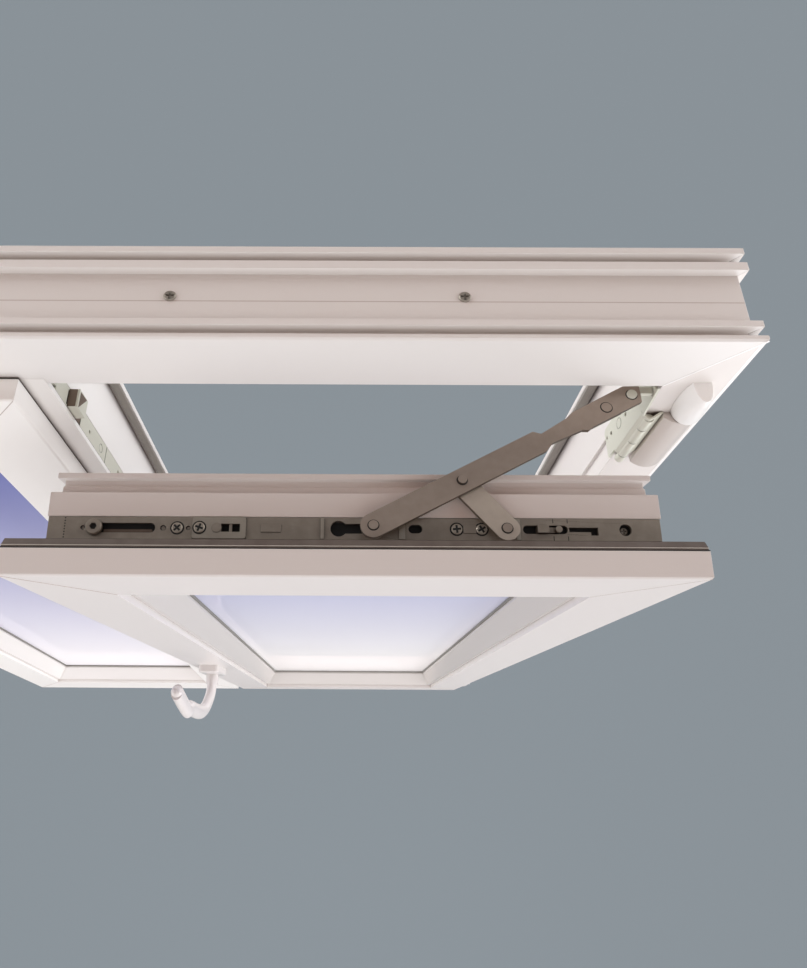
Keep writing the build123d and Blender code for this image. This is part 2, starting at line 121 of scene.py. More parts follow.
def add_node(tree: bpy.types.NodeTree, kind: str, settings: dict | None = None,
             links: dict | None = None) -> bpy.types.Node:
    """Adds one node to a material or world.

    Args:
        tree: the node tree that takes it.
        kind: Blender's node type name.
        settings: attributes, or input values where the key is a socket's name or number.
        links: input name or number to the output socket that feeds it.

    Returns:
        The new node.
    """
    node = tree.nodes.new(kind)
    for key, value in (settings or {}).items():
        if isinstance(key, str) and hasattr(node, key):
            setattr(node, key, value)
        else:
            node.inputs[key].default_value = value
    for key, output in (links or {}).items():
        tree.links.new(output, node.inputs[key])
    return node


def new_material(name: str) -> tuple[bpy.types.Material, bpy.types.Node, bpy.types.NodeTree]:
    """Makes an empty material with one Principled shader.

    Args:
        name: the material's name.

    Returns:
        The material, its shader node and its node tree.
    """
    material = bpy.data.materials.new(name)
    material.use_nodes = True
    tree = material.node_tree
    tree.nodes.clear()
    shader = add_node(tree, "ShaderNodeBsdfPrincipled")
    add_node(tree, "ShaderNodeOutputMaterial", links={"Surface": shader.outputs["BSDF"]})
    return material, shader, tree


def object_point(tree: bpy.types.NodeTree) -> bpy.types.NodeSocket:
    """Returns the socket with the point in the object's own space, in metres."""
    return add_node(tree, "ShaderNodeTexCoord").outputs["Object"]


def painted_gap_shade(tree: bpy.types.NodeTree, open_color: bpy.types.NodeSocket | Rgba, painted_shade_color: str,
            shade_reach: float, share: float, shade_span: tuple[float, float]) -> bpy.types.NodeSocket:
    """Paints shade into a colour: darkens it in gaps and round raised parts, where neighbouring
    faces keep light off.

    Args:
        tree: the material's nodes.
        open_color: the colour of open faces, or the socket that gives it.
        painted_shade_color: sRGB hex of the deepest gaps.
        shade_reach: how far from a neighbouring face it starts, in metres.
        share: how much of the deep colour the gaps take.
        shade_span: openness at which the deep colour is full, and at which it ends.

    Returns:
        The shaded colour.
    """
    near = add_node(tree, "ShaderNodeAmbientOcclusion",
                    {"samples": GAP_SAMPLES, "Distance": shade_reach})
    amount = add_node(tree, "ShaderNodeMapRange",
                      {"From Min": shade_span[0], "From Max": shade_span[1], "To Min": share, "To Max": 0.0},
                      {"Value": near.outputs["AO"]})
    mix = add_node(tree, "ShaderNodeMix", {"data_type": "RGBA", "B": srgb(painted_shade_color)},
                   {"Factor": amount.outputs["Result"]})
    if isinstance(open_color, bpy.types.NodeSocket):
        tree.links.new(open_color, mix.inputs["A"])
    else:
        mix.inputs["A"].default_value = open_color
    return mix.outputs["Result"]


@dataclass(frozen=True)
class ExtrudedPvc:
    """White window PVC-U, extruded through a polished die: smooth, slightly waxy gloss."""

    name: str = "extruded_pvc"
    color: str = "e9e7e5"
    roughness: float = 0.32
    ior: float = 1.53
    # Painted shade in gaps and corners: its colour, reach, strength and openness span
    gap_shade_color: str = "a49389"
    shade_reach_mm: float = 8.0
    share: float = 0.7
    shade_span: tuple[float, float] = (0.15, 0.85)
    wave_mm: float = 24.0
    wave_depth_mm: float = 0.2
    wave_strength: float = 0.04

    def build(self) -> bpy.types.Material:
        """Returns the material, with the die's faint long waves as a soft bump."""
        material, shader, tree = new_material(self.name)
        # Painted shade: the colour darkens where neighbouring faces are near
        shade = painted_gap_shade(tree, srgb(self.color), self.gap_shade_color, self.shade_reach_mm * MM, self.share, self.shade_span)
        tree.links.new(shade, shader.inputs["Base Color"])
        shader.inputs["Roughness"].default_value = self.roughness
        shader.inputs["IOR"].default_value = self.ior
        noise = add_node(tree, "ShaderNodeTexNoise",
                         {"Scale": 1 / (self.wave_mm * MM), "Detail": 2.0},
                         {"Vector": object_point(tree)})
        bump = add_node(tree, "ShaderNodeBump",
                        {"Strength": self.wave_strength, "Distance": self.wave_depth_mm * MM},
                        {"Height": noise.outputs["Fac"]})
        tree.links.new(bump.outputs["Normal"], shader.inputs["Normal"])
        return material


@dataclass(frozen=True)
class PowderCoat:
    """White powder-coated zinc casting: fine satin skin under a thin, clearer gloss."""

    name: str = "powder_coated_zinc"
    color: str = "e0dcda"
    roughness: float = 0.28
    # Painted shade in gaps: its strength, colour, reach and openness span
    share: float = 0.85
    gap_shade_color: str = "5c473c"
    shade_reach_mm: float = 8.0
    shade_span: tuple[float, float] = (0.1, 0.5)
    gloss: float = 0.25
    gloss_roughness: float = 0.12

    def build(self) -> bpy.types.Material:
        """Returns the material, with painted shade where the casting meets its neighbours."""
        material, shader, tree = new_material(self.name)
        shade = painted_gap_shade(tree, srgb(self.color), self.gap_shade_color, self.shade_reach_mm * MM, self.share, self.shade_span)
        tree.links.new(shade, shader.inputs["Base Color"])
        shader.inputs["Roughness"].default_value = self.roughness
        shader.inputs["Coat Weight"].default_value = self.gloss
        shader.inputs["Coat Roughness"].default_value = self.gloss_roughness
        return material


@dataclass(frozen=True)
class PlatedSteel:
    """Pressed steel with a dull zinc passivation: broad soft glints, mottled by the bath."""

    name: str
    color: str
    patch: str
    roughness: float = 0.42
    mottle_mm: float = 7.0
    metallic: float = 0.75
    edge: str = ""
    edge_span: tuple[float, float] = (0.5, 0.95)
    # Painted shade in gaps: its colour, reach, strength and openness span
    gap_shade_color: str = "15110d"
    shade_reach_mm: float = 2.5
    share: float = 0.9
    shade_span: tuple[float, float] = (0.15, 0.85)

    def build(self) -> bpy.types.Material:
        """Returns the material, mottled in two shades, darker on its upright faces and with painted
        shade in gaps.
        """
        material, shader, tree = new_material(self.name)
        point = object_point(tree)
        noise = add_node(tree, "ShaderNodeTexNoise",
                         {"Scale": 1 / (self.mottle_mm * MM), "Detail": 3.0}, {"Vector": point})
        mix = add_node(tree, "ShaderNodeMix",
                       {"data_type": "RGBA", "A": srgb(self.color), "B": srgb(self.patch)},
                       {"Factor": noise.outputs["Fac"]})
        facing = add_node(tree, "ShaderNodeSeparateXYZ",
                          links={"Vector": add_node(tree, "ShaderNodeTexCoord").outputs["Normal"]})
        level = add_node(tree, "ShaderNodeMath", {"operation": "ABSOLUTE"},
                         {0: facing.outputs["Z"]})
        rim = add_node(tree, "ShaderNodeMapRange",
                       {"From Min": self.edge_span[0], "From Max": self.edge_span[1]},
                       {"Value": level.outputs[0]})
        cut = add_node(tree, "ShaderNodeMix",
                       {"data_type": "RGBA", "A": srgb(self.edge or self.color)},
                       {"Factor": rim.outputs["Result"], "B": mix.outputs["Result"]})
        shade = painted_gap_shade(tree, cut.outputs["Result"], self.gap_shade_color, self.shade_reach_mm * MM, self.share,
                        self.shade_span)
        tree.links.new(shade, shader.inputs["Base Color"])
        shader.inputs["Metallic"].default_value = self.metallic
        shader.inputs["Roughness"].default_value = self.roughness
        return material


@dataclass(frozen=True)
class SealRubber:
    """Extruded EPDM or TPE: matt, with the fine grain of the die and a chalky bloom."""

    name: str = "epdm_rubber"
    color: str = "574c45"
    roughness: float = 0.55
    # The real grain is finer, and this is as coarse as it needs to be to show
    grain_mm: float = 0.9
    bloom: float = 0.12
    chalk: str = "d8d4cf"
    drift_mm: float = 10.8
    grain_depth_mm: float = 0.05
    grain_strength: float = 0.15

    def build(self) -> bpy.types.Material:
        """Returns the material, its grain as a bump and the bloom as pale drifts."""
        material, shader, tree = new_material(self.name)
        point = object_point(tree)
        drift = add_node(tree, "ShaderNodeTexNoise",
                         {"Scale": 1 / (self.drift_mm * MM), "Detail": 3.0}, {"Vector": point})
        pale = add_node(tree, "ShaderNodeMath", {"operation": "MULTIPLY", 1: self.bloom},
                        {0: drift.outputs["Fac"]})
        mix = add_node(tree, "ShaderNodeMix",
                       {"data_type": "RGBA", "A": srgb(self.color), "B": srgb(self.chalk)},
                       {"Factor": pale.outputs[0]})
        tree.links.new(mix.outputs["Result"], shader.inputs["Base Color"])
        shader.inputs["Roughness"].default_value = self.roughness
        grain = add_node(tree, "ShaderNodeTexNoise",
                         {"Scale": 1 / (self.grain_mm * MM), "Detail": 2.0}, {"Vector": point})
        bump = add_node(tree, "ShaderNodeBump",
                        {"Strength": self.grain_strength, "Distance": self.grain_depth_mm * MM},
                        {"Height": grain.outputs["Fac"]})
        tree.links.new(bump.outputs["Normal"], shader.inputs["Normal"])
        return material


@dataclass(frozen=True)
class FloatGlass:
    """Float glass with a painted sky reflection: periwinkle above, bleached below, with a faint
    gloss.
    """

    name: str
    low: str
    high: str
    z_low: float
    z_high: float
    alpha: float
    gloss: float = 0.4
    roughness: float = 0.03
    ior: float = 1.52

    def build(self) -> bpy.types.Material:
        """Returns the material, its painted sky reflection a ramp up the pane's own height."""
        material, shader, tree = new_material(self.name)
        split = add_node(tree, "ShaderNodeSeparateXYZ", links={"Vector": object_point(tree)})
        height = add_node(tree, "ShaderNodeMapRange",
                          {"From Min": self.z_low, "From Max": self.z_high},
                          {"Value": split.outputs["Z"]})
        mix = add_node(tree, "ShaderNodeMix",
                       {"data_type": "RGBA", "A": srgb(self.low), "B": srgb(self.high)},
                       {"Factor": height.outputs["Result"]})
        tree.links.new(mix.outputs["Result"], shader.inputs["Base Color"])
        shader.inputs["Roughness"].default_value = self.roughness
        shader.inputs["IOR"].default_value = self.ior
        shader.inputs["Specular IOR Level"].default_value = self.gloss
        shader.inputs["Alpha"].default_value = self.alpha
        return material


class Finish(Enum):
    """The finishes of this window, each built once.

    The whites differ a little from piece to piece: lighter and darker copies of one white, as
    painted light and shade.
    """

    FRAME = ExtrudedPvc()
    # Painted light: a brighter copy of the white, on the left sash and the mullion
    INNER = ExtrudedPvc("extruded_pvc_inner_lit", "f7f6f4")
    # Painted shade: darker copies of the white, on the tilted sash and its beads
    TILTED = ExtrudedPvc("extruded_pvc_tilted_shaded", "e0dcda", gap_shade_color="b3aaa2", shade_reach_mm=5.0, share=0.3)
    BEAD = ExtrudedPvc("extruded_pvc_bead_shaded", "cdc9c6", 0.26, gap_shade_color="b3aaa2", shade_reach_mm=4.0, share=0.5)
    WHITE = PowderCoat()
    # Painted light on the top hinge's cap and painted shade on its cover: a brighter and a darker
    # copy of the powder coat
    CAP_WHITE = PowderCoat("powder_coated_cap_lit", "fcfcfb", share=0.2)
    COVER = PowderCoat("powder_coated_cover_shaded", "d0c9c4")
    SEAL = SealRubber()
    GREY_SEAL = SealRubber("tpe_lip_grey", "8f8a82")
    # Painted highlight along the edge of the flange seal's lip
    HIGHLIGHT_RIB = SealRubber("tpe_rib_painted_highlight", "c6c2b9")
    # Painted shadow: wide, deep gap shade on the right jamb darkens the pocket beside the top
    # hinge's cap
    HINGE_JAMB = ExtrudedPvc("extruded_pvc_hinge_side_shadow", "e8e4e1", gap_shade_color="5c473c", shade_reach_mm=15.0,
                             share=0.95, shade_span=(0.1, 0.56))
    GLAZE_SEAL = SealRubber("tpe_glazing_grey", "807e79")
    # The same PVC as a brighter white for painted highlights on broken edges and frame welds, a
    # darker line for the painted shade of the head's groove and the right sash welds, and a weld
    # joint colour
    ARRIS = ExtrudedPvc("extruded_pvc_arris_highlight", "fbfbfb", 0.3)
    DIE_LINE = ExtrudedPvc("extruded_pvc_line", "c9c1bc", 0.4)
    JOINT = ExtrudedPvc("extruded_pvc_joint", "a98f85", 0.5)
    # Near black painted shade inside slots, sockets, countersinks, dents and thin joints, round
    # rivets and along the seal's dark rib
    SHADE = SealRubber("painted_shade_black", "16130f", 0.7, bloom=0.02)
    # Brown painted shade for the keep's block, its recess and its shadow wedge, and for the slide
    # in the cam's slot
    BROWN = PlatedSteel("keep_painted_shade_brown", "776659", "66574c", 0.5, metallic=0.3)
    STAY = PlatedSteel("passivated_steel_stay", "aa9c90", "988a7e", metallic=0.45, edge="5f5348")
    LINK = PlatedSteel("passivated_steel_link", "cdc1b3", "bbaea0", metallic=0.45, edge="6d6156")
    GEAR = PlatedSteel("passivated_steel_gear", "a79d90", "8b8175", metallic=0.45, edge="665b50")
    PLATE_SCREW = PlatedSteel("bright_zinc_screw", "b5ab9d", "a1978a", 0.35, metallic=0.5)
    KEEP = PlatedSteel("bright_zinc_keep", "dcdccf", "cfd0c2", 0.5, metallic=0.25)
    SCREW = PlatedSteel("yellow_zinc_screw", "a79f94", "8b8378", 0.35, metallic=0.4)
    SPACER = PlatedSteel("aluminium_spacer", "b9bbbd", "aeb0b3", 0.35)
    # Lower and upper colour of the painted sky reflection, the heights of both in metres, opacity
    # and gloss
    LEFT_PANE = FloatGlass("float_glass_left", "f4f4f9", "7a81b8", 0.2, 0.95, 0.992, 0.03)
    RIGHT_PANE = FloatGlass("float_glass_right", "fcfcfe", "8c94c2", 0.42, 1.18, 0.992, 0.03)
    LEFT_BACK = FloatGlass("float_glass_left_back", "ffffff", "8b91bd", 0.2, 0.98, 0.6)
    RIGHT_BACK = FloatGlass("float_glass_right_back", "ffffff", "969cc6", 0.36, 1.3, 0.6)

    def material(self) -> bpy.types.Material:
        """Returns the finish's material, made on first use."""
        found = bpy.data.materials.get(self.value.name)
        return found or self.value.build()


def dress(node: str, finish: Finish, bevel_mm: float = 0.4) -> None:
    """Gives a CAD node its material and softly broken edges.

    Args:
        node: the node's name.
        finish: its finish.
        bevel_mm: width of the broken edges, 0 for none.
    """
    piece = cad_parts[node]
    piece.data.materials.clear()
    piece.data.materials.append(finish.material())
    if bevel_mm:
        weld = piece.modifiers.new("weld", "WELD")
        weld.merge_threshold = WELD_REACH
        bevel = piece.modifiers.new("bevel", "BEVEL")
        bevel.width = bevel_mm * MM
        bevel.segments = BEVEL_STEPS
        bevel.limit_method = "ANGLE"
        bevel.angle_limit = BEVEL_ANGLE
        bevel.harden_normals = True
    LOG.info("dressed %s in %s", node, finish.value.name)


def add_mesh(name: str, mesh: bmesh.types.BMesh, finish: Finish,
             place: Matrix = Matrix.Identity(4)) -> None:
    """Turns a bmesh into a piece of the window that rides on its frame.

    Args:
        name: the piece's name.
        mesh: its shape, in metres, used up here.
        finish: its finish.
        place: moves the shape into the row frame.
    """
    mesh.transform(place)
    bmesh.ops.recalc_face_normals(mesh, faces=mesh.faces)
    data = bpy.data.meshes.new(name)
    mesh.to_mesh(data)
    mesh.free()
    data.materials.append(finish.material())
    piece = bpy.data.objects.new(name, data)
    bpy.context.scene.collection.objects.link(piece)
    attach(piece, "root")
    LOG.info("added %s: %d faces", name, len(data.polygons))


def tilt_matrix() -> Matrix:
    """Returns the matrix that swings a closed right-sash piece to its tilted place."""
    low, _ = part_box("frame_head")
    pivot = Vector((0, low[1] - PIVOT_OUT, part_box("left_sash_bottom_rail")[0][2]))
    return Matrix.Translation(pivot) @ Matrix.Rotation(TILT, 4, "X") @ Matrix.Translation(-pivot)


def disc_points(radius: float, steps: int = HEAD_STEPS) -> Outline:
    """Returns the corners of a round outline in metres."""
    return [(radius * math.cos(math.tau * i / steps), radius * math.sin(math.tau * i / steps))
            for i in range(steps)]


def cross_points(arm: float, half: float) -> Outline:
    """Returns the corners of a plus sign with arms of that length and half width."""
    return [(arm, -half), (arm, half), (half, half), (half, arm), (-half, arm), (-half, half),
            (-arm, half), (-arm, -half), (-half, -half), (-half, -arm), (half, -arm), (half, -half)]


def bridge(mesh: bmesh.types.BMesh, ring: list[bmesh.types.BMVert],
           after: list[bmesh.types.BMVert]) -> None:
    """Closes the wall between two rings that have as many corners.

    Args:
        mesh: the mesh that holds both.
        ring: the corners of one, in order.
        after: the corners of the other, in the same order.
    """
    count = len(ring)
    for i in range(count):
        j = (i + 1) % count
        mesh.faces.new((ring[i], ring[j], after[j], after[i]))


def cross_screw(radius: float, height: float) -> bmesh.types.BMesh:
    """Builds a low countersunk screw head with a cross recess, on its own +Z.

    Args:
        radius: the head's radius in metres.
        height: how far its rim stands up in metres.

    Returns:
        The head, its base at the origin.
    """
    mesh = bmesh.new()
    rims = []
    for r, z in ((radius, 0.0), (radius, height * HEAD_RIM), (radius * HEAD_TOP, height)):
        rims.append([mesh.verts.new((x, y, z)) for x, y in disc_points(r)])
    for low, high in zip(rims, rims[1:]):
        bridge(mesh, low, high)
    corner = cross_points(radius * CROSS_ARM, radius * CROSS_HALF)
    top = [mesh.verts.new((x, y, height)) for x, y in corner]
    floor = [mesh.verts.new((x * CROSS_TAPER, y * CROSS_TAPER, height - height * CROSS_DEPTH))
             for x, y in corner]
    edges = [mesh.edges.new(pair) for pair in zip(top, top[1:] + top[:1])]
    rim_edges = [mesh.edges.get(pair) for pair in zip(rims[-1], rims[-1][1:] + rims[-1][:1])]
    bmesh.ops.triangle_fill(mesh, use_beauty=True, edges=edges + rim_edges)
    bridge(mesh, top, floor)
    mesh.faces.new(floor)
    return mesh


def cross_recess_shade(radius: float) -> bmesh.types.BMesh:
    """Returns the painted shade on the floor of a screw's cross recess, as wide as the recess."""
    return sheet(cross_points(radius * INLAY_ARM, radius * INLAY_HALF), [], INLAY_LOW, INLAY_HIGH)


def strip(start: Vector, end: Vector, width: float, normal: Vector,
          proud: float) -> bmesh.types.BMesh:
    """Builds a thin flat strip along a line on a face, such as a trimmed weld.

    Args:
        start: one end, on the face.
        end: the other end.
        width: the strip's width.
        normal: the face's outward normal.
        proud: how far it stands off the face.

    Returns:
        A box-like strip.
    """
    along = end - start
    across = along.cross(normal).normalized() * width / 2
    mesh = bmesh.new()
    rows = []
    for lift in (-proud, proud):
        rows.append([mesh.verts.new(p + across * s + normal * lift)
                     for p, s in ((start, -1), (end, -1), (end, 1), (start, 1))])
    mesh.faces.new(rows[0])
    mesh.faces.new(rows[1])
    bridge(mesh, *rows)
    return mesh


def rounded(width: float, height: float, radius: float, steps: int = 5) -> Outline:
    """Corners of an upright rectangle with rounded corners, about the origin.

    Args:
        width: along X in metres.
        height: along Y in metres.
        radius: the corners' radius in metres.
        steps: pieces in each corner's arc.

    Returns:
        The outline, anticlockwise.
    """
    points = []
    for number, (sx, sy) in enumerate(((1, 1), (-1, 1), (-1, -1), (1, -1))):
        for i in range(steps + 1):
            angle = math.pi / 2 * (number + i / steps)
            points.append((sx * (width / 2 - radius) + radius * math.cos(angle),
                           sy * (height / 2 - radius) + radius * math.sin(angle)))
    return points


def sheet(outline: Outline, holes: list[Outline], low: float, high: float) -> bmesh.types.BMesh:
    """Builds a flat plate with holes, on its own XY plane.

    Args:
        outline: the plate's corners in metres.
        holes: the corners of each hole.
        low: the height of its underside.
        high: the height of its top.

    Returns:
        The closed plate.
    """
    mesh = bmesh.new()
    for z in (low, high):
        edges = []
        for loop in (outline, *holes):
            ring = [mesh.verts.new((x, y, z)) for x, y in loop]
            edges += [mesh.edges.new((a, b)) for a, b in zip(ring, ring[1:] + ring[:1])]
        bmesh.ops.triangle_fill(mesh, use_beauty=True, edges=edges)
    mesh.verts.ensure_lookup_table()
    half = len(mesh.verts) // 2
    start = 0
    for loop in (outline, *holes):
        count = len(loop)
        for i in range(count):
            a, b = start + i, start + (i + 1) % count
            mesh.faces.new([mesh.verts[n] for n in (a, b, b + half, a + half)])
        start += count
    return mesh


def bead_ring(x0: float, x1: float, z0: float, z1: float, y: float, radius: float,
              steps: int = 8) -> bmesh.types.BMesh:
    """Builds a thin round bead along a rectangle, mitred at its corners.

    Args:
        x0: left side in metres.
        x1: right side.
        z0: lower side.
        z1: upper side.
        y: the depth of its middle.
        radius: the bead's radius.
        steps: how many sides its section has.

    Returns:
        The closed ring.
    """
    mesh = bmesh.new()
    rows = []
    for x, z, sx, sz in ((x0, z0, -1, -1), (x1, z0, 1, -1), (x1, z1, 1, 1), (x0, z1, -1, 1)):
        rows.append([mesh.verts.new((x + sx * radius * math.cos(a), y + radius * math.sin(a),
                                     z + sz * radius * math.cos(a)))
                     for a in (math.tau * i / steps for i in range(steps))])
    for row, after in zip(rows, rows[1:] + rows[:1]):
        bridge(mesh, row, after)
    return mesh


@dataclass
class OuterFrame:
    """Head, sill, jambs and mullion with their lip seals, head screws and corner welds."""

    members: tuple[tuple[str, Finish], ...] = (
        ("frame_head", Finish.FRAME), ("frame_sill", Finish.FRAME),
        ("frame_left_jamb", Finish.FRAME), ("frame_right_jamb", Finish.HINGE_JAMB),
        ("mullion", Finish.INNER))
    screw_radius: float = 4.4 * MM
    screw_height: float = 1.2 * MM
    screw_x: tuple[float, ...] = (-0.108, 0.0935, 0.299)
    recess: float = 5.5 * MM
    # Line of painted shade for the head's groove
    line_ahead: float = 4 * MM
    line_short: float = 6 * MM
    line_width: float = 0.7 * MM
    line_proud: float = 0.05 * MM
    # Strips of painted highlight along the jambs' broken edges
    arris_in: float = 2.9 * MM
    arris_short: float = 4 * MM
    arris_width: float = 2.4 * MM
    arris_proud: float = 0.06 * MM
    weld_in: float = 0.6 * MM
    weld_width: float = 1.3 * MM
    weld_proud: float = 0.15 * MM

    def build(self) -> None:
        """Dresses the members and adds the fixings and welds."""
        for node, finish in self.members:
            dress(node, finish)
        for side in ("left", "right"):
            dress(f"{side}_weather_seal", Finish.GREY_SEAL, 0)
        self.add_screws()
        self.add_welds()
        self.add_marks()

    def add_marks(self) -> None:
        """Draws a line of painted shade for the thin groove along the head's flat, and painted
        highlights along the jambs' broken edges.
        """
        low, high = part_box("frame_head")
        z = high[2] - self.recess
        y = (low[1] + high[1]) / 2 - self.line_ahead
        line = strip(Vector((low[0] + self.line_short, y, z)),
                     Vector((high[0] - self.line_short, y, z)),
                     self.line_width, Vector((0, 0, 1)), self.line_proud)
        add_mesh("head_groove_shade_line", line, Finish.DIE_LINE)
        z0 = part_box("frame_sill")[0][2] + self.arris_short
        z1 = high[2] - self.arris_short
        for name, x in (("left", low[0] + self.arris_in), ("right", high[0] - self.arris_in)):
            arris = strip(Vector((x, low[1], z0)), Vector((x, low[1], z1)), self.arris_width, ROOM,
                          self.arris_proud)
            add_mesh(f"{name}_jamb_arris_highlight", arris, Finish.ARRIS)

    def add_screws(self) -> None:
        """Sets the fixing screws along the middle of the head's outer flat."""
        low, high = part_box("frame_head")
        for number, x in enumerate(self.screw_x):
            place = Matrix.Translation((x, (low[1] + high[1]) / 2, high[2] - self.recess))
            add_mesh(f"head_screw_{number}", cross_screw(self.screw_radius, self.screw_height),
                     Finish.SCREW, place)

    def add_welds(self) -> None:
        """Draws the trimmed weld across each mitre of the room face, its brighter white a painted
        highlight.
        """
        low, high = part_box("frame_head")
        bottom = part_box("frame_sill")[0][2]
        for number, (x, sx) in enumerate(((low[0], 1), (high[0], -1))):
            for name, z, sz in (("top", high[2], -1), ("low", bottom, 1)):
                start = Vector((x + sx * self.weld_in, low[1], z + sz * self.weld_in))
                end = Vector((x + sx * FRAME_FACE, low[1], z + sz * FRAME_FACE))
                weld = strip(start, end, self.weld_width, ROOM, self.weld_proud)
                add_mesh(f"frame_weld_{number}_{name}", weld, Finish.ARRIS)


@dataclass(frozen=True)
class SealRib:
    """One thin round rib along the flange seal: a pale one is a painted highlight, a dark one a
    painted shade line.

    It lies behind the frame's room face and inset from the sash's edge, in metres.
    """

    name: str
    behind: float
    inset: float
    radius: float
    finish: Finish


@dataclass
class Sash:
    """One sash: rails, stiles, beads, seals, sealed unit and its corner welds."""

    side: str
    place: Matrix
    profile: Finish
    beads: Finish
    ribs: tuple[SealRib, ...]
    weld_in: float = 0.8 * MM
    weld_width: float = 0.6 * MM
    weld_proud: float = 0.08 * MM

    def build(self) -> None:
        """Dresses the sash's nodes and adds its welds."""
        for part in ("top_rail", "bottom_rail", "left_stile", "right_stile"):
            dress(f"{self.side}_sash_{part}", self.profile)
        dress(f"{self.side}_glazing_beads", self.beads)
        dress(f"{self.side}_glazing_seal", Finish.GLAZE_SEAL, 0)
        dress(f"{self.side}_flange_seal", Finish.SEAL, 0)
        self.add_seal_ribs()
        dress(f"{self.side}_inner_pane", Finish[f"{self.side.upper()}_PANE"], 0)
        dress(f"{self.side}_outer_pane", Finish[f"{self.side.upper()}_BACK"], 0)
        dress(f"{self.side}_pane_spacer", Finish.SPACER, 0)
        self.add_welds()

    def sides(self) -> tuple[float, float, float, float]:
        """Returns the left, right, lower and upper side, the heights from the upright sash."""
        low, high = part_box(f"{self.side}_sash_top_rail")
        return (low[0], high[0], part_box("left_sash_bottom_rail")[0][2],
                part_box("left_sash_top_rail")[1][2])

    def add_seal_ribs(self) -> None:
        """Runs the flange seal's thin ribs round the sash."""
        x0, x1, z0, z1 = self.sides()
        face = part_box("frame_head")[0][1]
        for rib in self.ribs:
            ring = bead_ring(x0 + rib.inset, x1 - rib.inset, z0 + rib.inset, z1 - rib.inset,
                             face + rib.behind, rib.radius)
            add_mesh(f"{self.side}_seal_{rib.name}_rib", ring, rib.finish,
                     self.place)

    def add_welds(self) -> None:
        """Draws the trimmed weld across each mitre, darker on the left than on the right."""
        x0, x1, z0, z1 = self.sides()
        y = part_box("left_sash_top_rail")[0][1]
        for number, x, sx, finish in ((0, x0, 1, Finish.JOINT), (1, x1, -1, Finish.DIE_LINE)):
            for name, z, sz in (("top", z1, -1), ("low", z0, 1)):
                start = Vector((x + sx * self.weld_in, y, z + sz * self.weld_in))
                end = Vector((x + sx * SASH_FACE, y, z + sz * SASH_FACE))
                weld = strip(start, end, self.weld_width, ROOM, self.weld_proud)
                add_mesh(f"{self.side}_sash_weld_{number}_{name}", weld, finish,
                         self.place)


